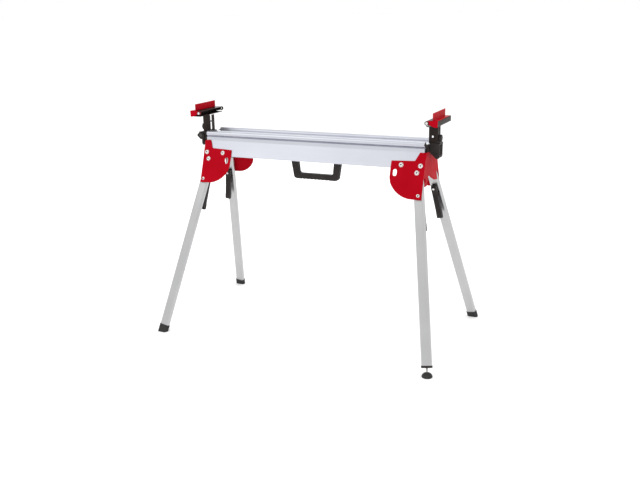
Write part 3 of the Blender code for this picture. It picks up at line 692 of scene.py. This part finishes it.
def build_screw_foot():
    """Plug in the end of the leg, threaded stem and round pad on the floor."""
    along = leg_frame(*SCREW_FOOT_LEG) @ ALONG_Y
    floor = -floor_distance(*SCREW_FOOT_LEG)
    bottom = floor + SCREW_FOOT_UP
    collar = [(leg_loop(0), bottom - 0.0100), (leg_loop(0.0012), bottom - 0.0088),
              (leg_loop(0.0012), bottom - GAP)]
    plug = loft("screw_foot_collar", collar, along, BLACK)
    spigot = prism("spigot", [leg_loop(-0.0026, 0.002)], bottom - 0.005, bottom + 0.020, along, BLACK)
    plug = cut(plug, [spigot], "UNION")
    bore = prism("bore", [circle(0, 0, 0.0049)], bottom - 0.020, bottom + 0.030, along, BLACK)
    stands_for(cut(plug, [bore]), "leg_front_right", "black_plastic", "screw_foot_plug")
    start = floor + 0.0225
    thread = [(0, start), (0.0040, start)]
    turns = 14
    pitch = 0.0017
    for k in range(turns):
        z = start + 0.0004 + pitch * k
        thread += [(0.0038, z), (0.0045, z + pitch / 2)]
    thread += [(0.0040, bottom - 0.0005), (0.0040, bottom + 0.012), (0, bottom + 0.012)]
    stem = turned("screw_foot_thread", thread, along, ZINC, 20)
    stands_for(stem, "screw_foot_stem", "bright_steel", "screw_foot_stem")
    centre = Matrix.Translation((middle("screw_foot_pad", 0), middle("screw_foot_pad", 1), 0))
    shape = [(0, 0.0010), (0.0180, 0.0010), (0.0200, 0), (0.0230, 0), (0.0235, 0.0006), (0.0235, 0.0036),
             (0.0228, 0.0046), (0.0215, 0.0080), (0.0190, 0.0120), (0.0150, 0.0150), (0.0110, 0.0166),
             (0.0105, 0.0172), (0.0080, 0.0178), (0.0072, 0.0185), (0, 0.0185)]
    pad = turned("screw_foot_cup", shape, centre, RUBBER, 40)
    stands_for(pad, "screw_foot_pad", "rubber", "screw_foot_pad")


# ---------------------------------------------------------------- latches

def build_lever(end, side):
    """Moulded latch lever with a rounded top, finger ribs and a thicker grip at its end."""
    place = lever_frame(end, side)
    leg_side = [(0.0460, -0.0025), *arc(0.0415, -0.0001, 0.0045, 20, 90, 4), (-0.0885, 0.0044),
                (-0.1135, 0.0018)]
    grip = [(-0.1150, 0.0000), *arc(-0.1100, -0.0107, 0.0050, 180, 270, 4), (-0.0885, -0.0157),
            (-0.0857, -0.0140)]
    ribs = []
    for k in range(RIBS):
        y = -0.0800 + RIB_PITCH * k
        ribs += [(y, -0.0140), (y + 0.0009, -0.0126), (y + 0.0036, -0.0126), (y + 0.0045, -0.0140)]
    crown = [(0.0330, -0.0140), *arc(0.0350, -0.0030, 0.0110, 280, 350, 6)]
    drawn = place @ ALONG_X
    loops = [leg_side + grip + ribs + crown, circle(0, 0, 0.0023, 16)]
    lever = prism(f"latch_handle_{side}_{end}", loops, -LEVER_HALF, LEVER_HALF, drawn, BLACK)
    hole = prism("hole", [slot(0, 0.0340, 0.0046, 0.0016)], -0.030, 0.030, place, BLACK)
    soften(cut(lever, [hole]), 0.0005, 2, 40)
    stands_for(lever, f"latch_lever_{side}_{end}", "black_plastic", f"latch_lever_{side}_{end}")


def build_pin(end, side):
    """Steel lock pin with the collar and head that the lever pulls on."""
    place = leg_frame(end, side) @ Matrix.Translation((0, -PIN_DOWN, 0))
    tip = LEG_DEPTH - SHEET - GAP
    head = PIN_COLLAR - 0.0038
    shape = [(0, head + 0.0006), (0.0018, head + 0.0006), (0.0024, head), (0.0044, head),
             (0.0053, head + 0.0008), (0.0055, head + 0.0018), (0.0055, PIN_COLLAR), (0.0040, PIN_COLLAR),
             (0.0040, tip - 0.0012), (0.0038, tip - 0.0005), (0.0030, tip), (0, tip)]
    pin = turned(f"latch_pin_{side}_{end}", shape, place, ZINC, 24)
    stands_for(pin, f"lock_pin_{side}_{end}", "bright_steel", f"lock_pin_{side}_{end}")


# ---------------------------------------------------------------- handle

def build_handle():
    """Moulded carrying handle with rounded bars and a ribbed grip."""
    top = high("carry_handle", 2)
    outer = [(0.130, top), (0.130, 0.830), (0.1165, 0.750), *arc(0.0985, 0.7480, 0.0180, -5, -90, 6)]
    grip = []
    for k in range(8):
        x = 0.0665 - 0.019 * k
        grip += [(x, 0.730), (x - 0.0012, 0.7312), (x - 0.0068, 0.7312), (x - 0.0080, 0.730)]
    inner = [(0.095, top), (0.095, 0.830), (0.0885, 0.774), *arc(0.0760, 0.7700, 0.0130, -5, -90, 5)]
    outline = outer + grip + flipped(outer) + [(-x, z) for x, z in inner] + list(reversed(inner))
    handle = prism("handle_moulding", [outline], -0.012, 0.012, ALONG_Y, BLACK)
    soften(handle, 0.0045, 4, 50)
    stands_for(handle, "stand", "black_plastic", "carry_handle")


# ---------------------------------------------------------------- beam ends

def lock_knob_x(end):
    return abs(JOINTS[f"arm_lock_turn_{end}"]["pos_m"][0])


def build_end_cap(end, sx):
    """Plate over the beam's end with an ear on one side and the lug of the arm lock on the other."""
    place = mirrored(sx, sx)
    section = place @ ALONG_X
    face_in = low("end_cap_right", 0)
    bottom = 0.8995
    half = 0.0570
    lock_side = [(half, bottom), (half, 0.9370), (0.0450, 0.9320)]
    ear_side = [(half, bottom), (half, 0.9185), (0.0830, 0.9320), (0.0830, 0.9380), (0.0810, 0.9390),
                (0.0450, 0.9300)]
    window = [(0.0030, bottom), (0.0030, 0.928), (0.0440, 0.928), (0.0440, bottom)]
    outline = lock_side + flipped(ear_side) + window
    cap = prism(f"beam_cap_{end}", [outline], face_in, 0.5600, section, BLACK)
    x = lock_knob_x(end)
    lug = prism("lug", [rounded(box(0.0475, 0.0600, 0.905, 0.937), 0.003)], 0.5550, x + 0.017, section, BLACK)
    bore = prism("bore", [circle(x, ARM_LOCK_Z, 0.0033)], 0.040, 0.070, place @ ALONG_Y, BLACK)
    cap = cut(cut(cap, [lug], "UNION"), [bore])
    soften(cap, 0.0008, 2, 40)
    stands_for(cap, "stand", "black_plastic", f"end_cap_{end}")


def notched(half_x, half_z, corner, notches, depth):
    """Square outline with cut corners and small finger notches along its four sides."""
    outline = []
    for turn in range(4):
        along, out = (half_x, half_z) if turn % 2 == 0 else (half_z, half_x)
        length = 2 * (along - corner)
        side = [(-length / 2, -out)]
        for k in range(notches):
            start = length * ((k + 0.30) / notches - 0.5)
            stop = length * ((k + 0.70) / notches - 0.5)
            side += [(start, -out), (start + depth, depth - out), (stop - depth, depth - out), (stop, -out)]
        side.append((length / 2, -out))
        c, s = ((1, 0), (0, 1), (-1, 0), (0, -1))[turn]
        outline += [(c * x - s * z, s * x + c * z) for x, z in side]
    return outline


def build_lock_knob(end, sx):
    """Square knob turned to a diamond: notched rim, dished face and a cap in the middle."""
    place = mirrored(sx, sx) @ Matrix.Translation((lock_knob_x(end), 0, ARM_LOCK_Z))
    drawn = place @ Matrix.Rotation(math.radians(45), 4, "Y") @ ALONG_Y
    face = 0.0603
    outline = notched(0.0140, 0.0155, 0.0040, 4, 0.0008)
    knob = prism(f"lock_knob_{end}", [outline], face, face + 0.0140, drawn, BLACK)
    shaft = turned("shaft", [(0, 0.0450), (0.0030, 0.0450), (0.0030, 0.0700), (0, 0.0700)], drawn, BLACK, 16)
    dish = turned("dish", [(0, face + 0.0125), (0.0086, face + 0.0125), (0.0096, face + 0.0160),
                           (0, face + 0.0160)], drawn, BLACK, 32)
    knob = cut(cut(knob, [shaft], "UNION"), [dish])
    soften(knob, 0.0005, 2, 40)
    stands_for(knob, f"arm_lock_knob_{end}", "black_plastic", f"arm_lock_knob_{end}")
    rim = face + 0.0145
    shape = [(0, face + 0.0126), (0.0078, face + 0.0126), (0.0082, face + 0.0130), (0.0082, rim - 0.0006),
             (0.0074, rim), (0.0040, rim + 0.0002), (0, rim + 0.0002)]
    cap = turned(f"lock_knob_cap_{end}", shape, drawn, GREY, 32)
    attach(cap, f"arm_lock_knob_{end}")


def build_arm(end, sx):
    """Rectangular tube. The two arms lie side by side, so one is the other turned half round."""
    place = mirrored(sx, sx) @ ALONG_X
    outer = rounded(box(0.0038, 0.0432, 0.9003, 0.9277), 0.002)
    inner = rounded(box(0.0058, 0.0412, 0.9023, 0.9257), 0.001)
    arm = prism(f"arm_tube_{end}", [outer, inner], -0.300, 0.5602, place, BEAM_METAL)
    arm.data.set_sharp_from_angle(angle=math.radians(EXTRUDED_CREASE))
    stands_for(arm, f"arm_{end}", "aluminium", f"extension_arm_{end}")


def build_carrier(end, sx):
    """Casting: a flange over the arm's end, a ribbed block under the post and two through holes."""
    lane = mirrored(sx, sx)
    place = mirrored(sx)
    drawn = place @ ALONG_Y
    outline = [(0.5605, 0.936), (0.5605, 0.897), (0.5890, 0.8690), (0.5990, 0.8690), (0.6040, 0.8760),
               (0.6040, 0.936)]
    front, back = -0.036, 0.016
    body = prism(f"carrier_casting_{end}", [rounded(outline, 0.003)], front, back, drawn, BLACK)
    plate = rounded(box(0.5605, 0.570, 0.8975, 0.936), 0.001)
    flange = prism("flange", [plate], -0.034, 0.044, lane @ ALONG_Y, BLACK)
    tenon = prism("tenon", [box(0.0061, 0.0409, 0.9026, 0.9254)], 0.530, 0.565, lane @ ALONG_X, BLACK)
    body = cut(body, [flange, tenon], "UNION")
    cutters = []
    for z in (0.882, 0.895):
        cutters.append(prism("hole", [circle(0.5975, z, 0.0024, 16)], -0.060, 0.060, drawn, BLACK))
    pocket = [(0.5740, 0.9300), (0.5740, 0.8950), (0.5820, 0.8870), (0.5920, 0.8870), (0.5920, 0.9300)]
    for face in (front, back):
        cutters.append(prism("pocket", [rounded(pocket, 0.002)], face - 0.004, face + 0.004, drawn, BLACK))
    for k in range(3):
        y = -0.0315 + 0.0150 * k
        groove = rounded(box(y, y + 0.0120, 0.8830, 0.9290), 0.002)
        cutters.append(prism("groove", [groove], 0.6015, 0.610, place @ ALONG_X, BLACK))
    body = cut(body, cutters)
    soften(body, 0.0007, 2, 40)
    stands_for(body, f"arm_{end}", "black_plastic", f"support_carrier_{end}")


# ---------------------------------------------------------------- end supports

def build_post(end, sx):
    """Upright channel, open at the back, with a slot in each side and a round hole in front."""
    place = mirrored(sx)
    x0, x1 = 0.5538, 0.5948
    back, front = 0.008, -0.032
    outer = [(x0, back), *arc(x0 + 0.0035, front + 0.0035, 0.0035, 180, 270, 5),
             *arc(x1 - 0.0035, front + 0.0035, 0.0035, 270, 360, 5), (x1, back)]
    inner = [(x1 - SHEET, back), *arc(x1 - 0.0045, front + 0.0045, 0.0015, 360, 270, 4),
             *arc(x0 + 0.0045, front + 0.0045, 0.0015, 270, 180, 4), (x0 + SHEET, back)]
    post = prism(f"post_channel_{end}", [outer + inner], low("support_post_right", 2),
                 high("support_post_right", 2), place, BLACK_PAINT_AND_SOCKET_SHADE)
    sides = place @ ALONG_X
    reach = 0.01
    inner_slot = rounded(box(-0.0280, -0.0130, 0.945, 1.030), 0.003)
    outer_slot = slot(-0.011, 0.9795, 0.0034, 0.0230)
    hole = circle(0.5714, 0.965, 0.005)
    post = cut(post, [
        prism("slot", [inner_slot], x0 - reach, x0 + reach, sides, BLACK_PAINT_AND_SOCKET_SHADE),
        prism("slot", [outer_slot], x1 - reach, x1 + reach, sides, BLACK_PAINT_AND_SOCKET_SHADE),
        prism("hole", [hole], front - reach, front + reach, place @ ALONG_Y, BLACK_PAINT_AND_SOCKET_SHADE),
    ])
    soften(post, 0.0005, 2, 45)
    stands_for(post, f"arm_{end}", "black_steel", f"support_post_{end}")


def build_bar(end, sx):
    """Channel across the end, with bent corners and a bored plate over each of its ends."""
    place = mirrored(sx)
    x0, x1, z0, z1, t = 0.563, 0.613, 1.016, 1.041, 0.0027
    outer_r = 0.0035
    inner_r = 0.0015
    inset = t + inner_r
    section = [(x0, z0), *arc(x1 - outer_r, z0 + outer_r, outer_r, 270, 360, 5),
               *arc(x1 - outer_r, z1 - outer_r, outer_r, 0, 90, 5), (x0, z1), (x0, z1 - t),
               *arc(x1 - inset, z1 - inset, inner_r, 90, 0, 4),
               *arc(x1 - inset, z0 + inset, inner_r, 0, -90, 4), (x0, z0 + t)]
    across = place @ ALONG_Y
    bar = prism(f"rest_bar_{end}", [section], -0.100, 0.100, across, BLACK_PAINT_AND_SOCKET_SHADE)
    plate = arc(STOP_X, STOP_Z, 0.0095, 63, 300, 16)
    plate += [(x1 - 0.001, z0 + 0.0002), (x1 - 0.0002, z0 + 0.002), (x1 - 0.0002, z1 - 0.002),
              (x1 - 0.001, z1 - 0.0002)]
    spans = ((-0.1027, -0.0995), (0.0995, 0.1027))
    bar = cut(bar, [prism("plate", [plate], *span, across, BLACK_PAINT_AND_SOCKET_SHADE) for span in spans], "UNION")
    bore = prism("bore", [circle(STOP_X, STOP_Z, STOP_BORE)], -0.115, 0.115, across, BLACK_PAINT_AND_SOCKET_SHADE)
    bar = cut(bar, [bore])
    soften(bar, 0.0005, 2, 45)
    stands_for(bar, f"support_{end}", "black_steel", f"support_bar_{end}")


def build_stop(end, sx):
    """Bent red sheet: flange on the bar, upright fence and the swinging tab at the front."""
    across = mirrored(sx) @ ALONG_Y
    low_z = 1.0413
    x0, x1 = 0.590, 0.613
    section = [(x1, low_z), (x1, low_z + SHEET), *arc(x0 + 0.0042, low_z + 0.0042, 0.0012, 270, 180, 4),
               (x0 + SHEET, 1.074), (x0, 1.074), *arc(x0 + 0.0035, low_z + 0.0035, 0.0035, 180, 270, 5)]
    fence = prism(f"stop_plate_{end}", [section], -0.0955, 0.080, across, RED)
    neck = prism("neck", [box(x0 + 0.0036, x1, low_z, low_z + SHEET)], -0.1055, -0.090, across, RED)
    lower_edge = [(0.590, 1.0205), (0.5985, 1.0165), (0.6140, 1.0150), (0.6155, 1.0400)]
    outline = arc(STOP_X, STOP_Z, 0.0095, 100, 300, 16) + [(0.577, 1.0265)]
    outline += rounded_between(lower_edge, 0.002)
    outline += [(0.6155, low_z + 0.001), (0.6145, low_z + 0.0029), (0.5890, low_z + 0.0029)]
    tab = prism("tab", [outline], -0.1065, -0.1035, across, RED)
    fence = cut(fence, [neck, tab], "UNION")
    bore = prism("bore", [circle(STOP_X, STOP_Z, STOP_BORE)], -0.115, -0.095, across, RED)
    fence = cut(fence, [bore])
    soften(fence, 0.0005, 2, 45)
    stands_for(fence, f"flip_stop_{end}", "red_paint", f"flip_stop_{end}")


def build_stop_bolt(end, sx):
    """Pivot bolt of the flip stop with its nut, and the washer under its head."""
    place = mirrored(sx) @ Matrix.Translation((STOP_X, 0, STOP_Z)) @ ALONG_Y
    shape = [(0, -0.1090), (0.0020, -0.1090, 6), (0.0020, -0.1102, 6), (0.0030, -0.1105), (0.0045, -0.1102),
             (0.0056, -0.1096), (0.0060, -0.1089), (0.0060, -0.1081), (0.0030, -0.1081), (0.0030, -0.0992),
             (0.0045, -0.0992, 6), (0.0045, -0.0965, 6), (0.0028, -0.0960), (0, -0.0960)]
    bolt = turned(f"stop_pivot_{end}", shape, place, ZINC, 24)
    stands_for(bolt, f"support_{end}", "bright_steel", f"stop_bolt_{end}")
    outline = [(0.0033, -0.1079), (0.0090, -0.1079), (0.0094, -0.1076), (0.0094, -0.1068), (0.0033, -0.1068)]
    washer = ring(f"stop_washer_{end}", outline, place, BLACK_PAINT_AND_SOCKET_SHADE)
    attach(washer, f"support_{end}")


def lobed(scale, steps=72, lobes=6):
    """Outline of the clamp knob, a circle with shallow finger lobes."""
    outline = []
    for i in range(steps):
        t = 2 * math.pi * i / steps
        r = (0.0150 + 0.0012 * math.cos(lobes * t)) * scale
        outline.append((r * math.cos(t), r * math.sin(t)))
    return outline


def build_height_knob(end, sx):
    """Knob that clamps the post's slide: rounded rim, dished face and a threaded stud."""
    place = mirrored(sx) @ Matrix.Translation((0, -0.011, 0.957)) @ ALONG_X
    x0 = 0.5951
    sections = [(lobed(0.86), x0), (lobed(0.97), x0 + 0.0008), (lobed(1.0), x0 + 0.0020),
                (lobed(1.0), x0 + 0.0090), (lobed(0.97), x0 + 0.0106), (lobed(0.88), x0 + 0.0118),
                (lobed(0.60), x0 + 0.0122), (lobed(0.54), x0 + 0.0114), (lobed(0.30), x0 + 0.0114)]
    knob = loft(f"clamp_knob_{end}", sections, place, BLACK)
    stud = turned("stud", [(0, 0.5850), (0.0026, 0.5850), (0.0026, 0.600), (0, 0.600)], place, BLACK, 16)
    knob = cut(knob, [stud], "UNION")
    stands_for(knob, f"height_knob_{end}", "black_plastic", f"height_knob_{end}")


# ---------------------------------------------------------------- nodes whose CAD shape stays

def finish_cad_node(name, material, width):
    """A CAD node that keeps its shape gets its material and slightly rounded edges."""
    node = NODES[name]
    node.data.materials.clear()
    node.data.materials.append(material)
    soften(node, width, 2, 30)
    node.data.shade_smooth()


# ---------------------------------------------------------------- stage

def build_stage():
    """Pale floor that runs into a white world, and four soft lamps."""
    made, tree, shader = new_material("pale floor", (0.93, 0.93, 0.93), 0.0, 0.8)
    shader.inputs["Specular IOR Level"].default_value = 0.1
    shader.inputs["Emission Color"].default_value = (1, 1, 1, 1)
    shader.inputs["Emission Strength"].default_value = 0.18
    tint(tree, noise(tree, 3, 3), shader, (0.92, 0.92, 0.92), (0.94, 0.94, 0.94))
    bm = bmesh.new()
    bmesh.ops.create_grid(bm, x_segments=2, y_segments=2, size=80)
    floor = place_mesh("floor", bm, Matrix.Translation((0, 0, FLOOR_Z)), made)
    bpy.context.scene.view_settings.view_transform = "Standard"
    world = bpy.data.worlds.new("studio")
    bpy.context.scene.world = world
    world.use_nodes = True
    backdrop = world.node_tree.nodes["Background"]
    backdrop.inputs["Color"].default_value = (1, 1, 1, 1)
    backdrop.inputs["Strength"].default_value = 1.0
    lamps = (
        ("key", (-1.8, -2.6, 3.2), 2.2, 16),
        ("fill", (3.0, -1.0, 2.2), 2.0, 4),
        ("top", (0.3, 1.2, 3.4), 2.5, 10),
        ("behind", (-1.9, 4.2, 1.8), 3.0, 42),
    )
    for name, place, size, power in lamps:
        light = bpy.data.lights.new(name, "AREA")
        light.size = size
        light.energy = power
        lamp = bpy.data.objects.new(name, light)
        lamp.location = place
        aim = Vector((0, 0, 0.6)) - Vector(place)
        lamp.rotation_euler = aim.to_track_quat("-Z", "Y").to_euler()
        bpy.context.scene.collection.objects.link(lamp)


def build_camera():
    """Camera at AZIMUTH and PITCH towards the stand, rolled slightly."""
    lens = bpy.data.cameras.new("camera")
    lens.lens = LENS
    lens.sensor_width = 36
    camera = bpy.data.objects.new("camera", lens)
    level = math.cos(PITCH)
    back = Vector((math.sin(AZIMUTH) * level, -math.cos(AZIMUTH) * level, math.sin(PITCH)))
    right = Vector((math.cos(AZIMUTH), math.sin(AZIMUTH), 0))
    up = back.cross(right)
    tilted_right = right * math.cos(ROLL) + up * math.sin(ROLL)
    tilted_up = up * math.cos(ROLL) - right * math.sin(ROLL)
    camera.matrix_world = Matrix((
        (tilted_right.x, tilted_up.x, back.x, CAMERA_AT[0]),
        (tilted_right.y, tilted_up.y, back.y, CAMERA_AT[1]),
        (tilted_right.z, tilted_up.z, back.z, CAMERA_AT[2]),
        (0, 0, 0, 1),
    ))
    bpy.context.scene.collection.objects.link(camera)
    bpy.context.scene.camera = camera


# ---------------------------------------------------------------- the whole stand

build_camera()
build_stage()
build_beam()
build_handle()
for end, _ in ENDS:
    for side, _ in SIDES:
        build_fasteners(end, side)
build_screw_foot()
for end, sx in ENDS:
    build_bracket(end, sx)
    build_end_cap(end, sx)
    build_lock_knob(end, sx)
    build_arm(end, sx)
    build_carrier(end, sx)
    build_post(end, sx)
    build_bar(end, sx)
    build_stop(end, sx)
    build_stop_bolt(end, sx)
    build_height_knob(end, sx)
    finish_cad_node(f"support_slide_{end}", BLACK_PAINT_AND_SOCKET_SHADE, 0.0005)
    finish_cad_node(f"leg_yoke_{end}", BLACK_PAINT_AND_SOCKET_SHADE, 0.0006)
    for side, _ in SIDES:
        build_leg(end, side)
        build_lever(end, side)
        build_pin(end, side)
        finish_cad_node(f"latch_mount_{side}_{end}", BLACK_PAINT_AND_SOCKET_SHADE, 0.0004)
        if (end, side) != SCREW_FOOT_LEG:
            build_foot(end, side)
